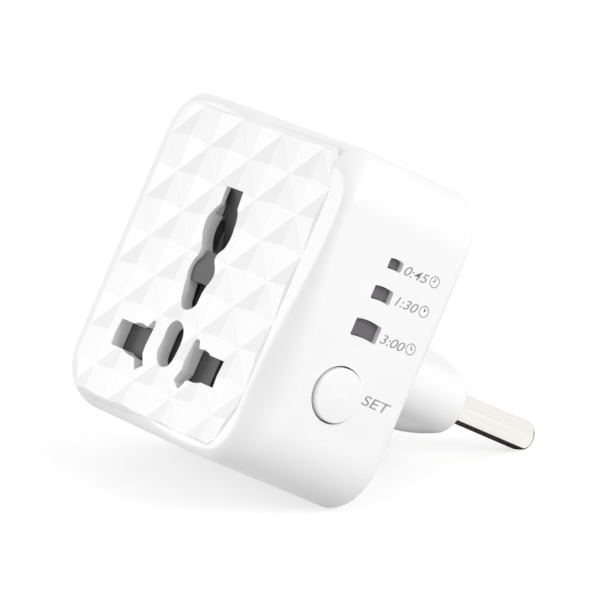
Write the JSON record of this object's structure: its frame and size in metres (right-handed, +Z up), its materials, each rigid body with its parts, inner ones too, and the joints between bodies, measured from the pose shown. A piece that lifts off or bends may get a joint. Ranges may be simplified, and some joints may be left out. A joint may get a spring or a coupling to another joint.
{
  "type": "plug in timer switch",
  "caption": "Square white plug-in countdown timer with a shuttered socket in its faceted face, a round plug at its back and a button with indicator windows on one side.",
  "frame": {"origin": "centre of the plug's flat mating face, midway between the two pins", "axes": "+Y along the pins, into the wall socket; +Z up; +X towards the side with the button"},
  "size_m": [0.0559, 0.0619, 0.0508],
  "materials": {
    "case": "white moulded plastic, fine sheen",
    "button": "white moulded plastic",
    "lens": "smoked, slightly translucent",
    "shutter": "grey moulded plastic",
    "carrier": "black heat-resistant plastic",
    "pin": "nickel plated",
    "contact": "bright strip",
    "spring": "drawn wire",
    "screw": "zinc plated",
    "board": "green solder mask",
    "solder": "bright solder",
    "black_part": "black moulded part",
    "relay_cover": "blue cover",
    "copper": "enamelled copper winding",
    "iron": "nickel plated iron",
    "film": "yellow film capacitor case",
    "can": "sleeved can",
    "disc": "blue epoxy coat",
    "ceramic": "beige coat",
    "lamp": "clear diffused resin"
  },
  "bodies": {
    "case_body": {"front_shell": "case", "rear_cover": "case", "contact_carrier": "carrier", "live_contact": "contact", "neutral_contact": "contact", "shutter_springs": "spring", "flap_axle": "iron", "pin_left": "pin", "pin_right": "pin", "pin_retainer": "black_part", "retainer_screw": "screw", "main_board": "board", "pin_solder": "solder", "side_board": "board", "board_header": "black_part", "controller_chip": "black_part", "led_045": "lamp", "led_130": "lamp", "led_300": "lamp", "lens_045": "lens", "lens_130": "lens", "lens_300": "lens", "switch_body": "black_part", "relay_base": "black_part", "relay_case": "relay_cover", "relay_coil": "copper", "relay_core": "iron", "relay_yoke": "iron", "relay_contacts": "contact", "film_capacitor": "film", "electrolytic_large": "can", "electrolytic_small": "can", "bridge_rectifier": "black_part", "varistor": "disc", "thermal_fuse": "iron", "resistors": "ceramic", "case_screws": "screw", "carrier_screws": "screw"},
    "shutter_body": {"shutter": "shutter"},
    "flap_body": {"earth_flap": "shutter"},
    "button_body": {"set_button": "button", "switch_plunger": "black_part"},
    "armature_body": {"relay_armature": "iron"}
  },
  "joints": [
    {"name": "shutter_slide", "type": "slide", "parent": "case_body", "child": "shutter_body", "axis": [0, 0, 1], "range_m": [0, 0.0088], "stiffness_N_per_m": 60, "springref_m": -0.004, "deforming": ["shutter_springs"]},
    {"name": "flap_hinge", "type": "hinge", "parent": "case_body", "child": "flap_body", "pos_m": [0, -0.0389, 0.0063], "axis": [1, 0, 0], "range_deg": [0, 100], "stiffness_Nm_per_rad": 0.0002, "springref_deg": -28.65},
    {"name": "button_press", "type": "slide", "parent": "case_body", "child": "button_body", "axis": [-1, 0, 0], "range_m": [0, 0.0006], "stiffness_N_per_m": 2000, "springref_m": -0.0001},
    {"name": "armature_hinge", "type": "hinge", "parent": "case_body", "child": "armature_body", "pos_m": [0, -0.0249, 0.0155], "axis": [1, 0, 0], "range_deg": [0, 4], "stiffness_Nm_per_rad": 0.01, "springref_deg": -11.46}
  ]
}
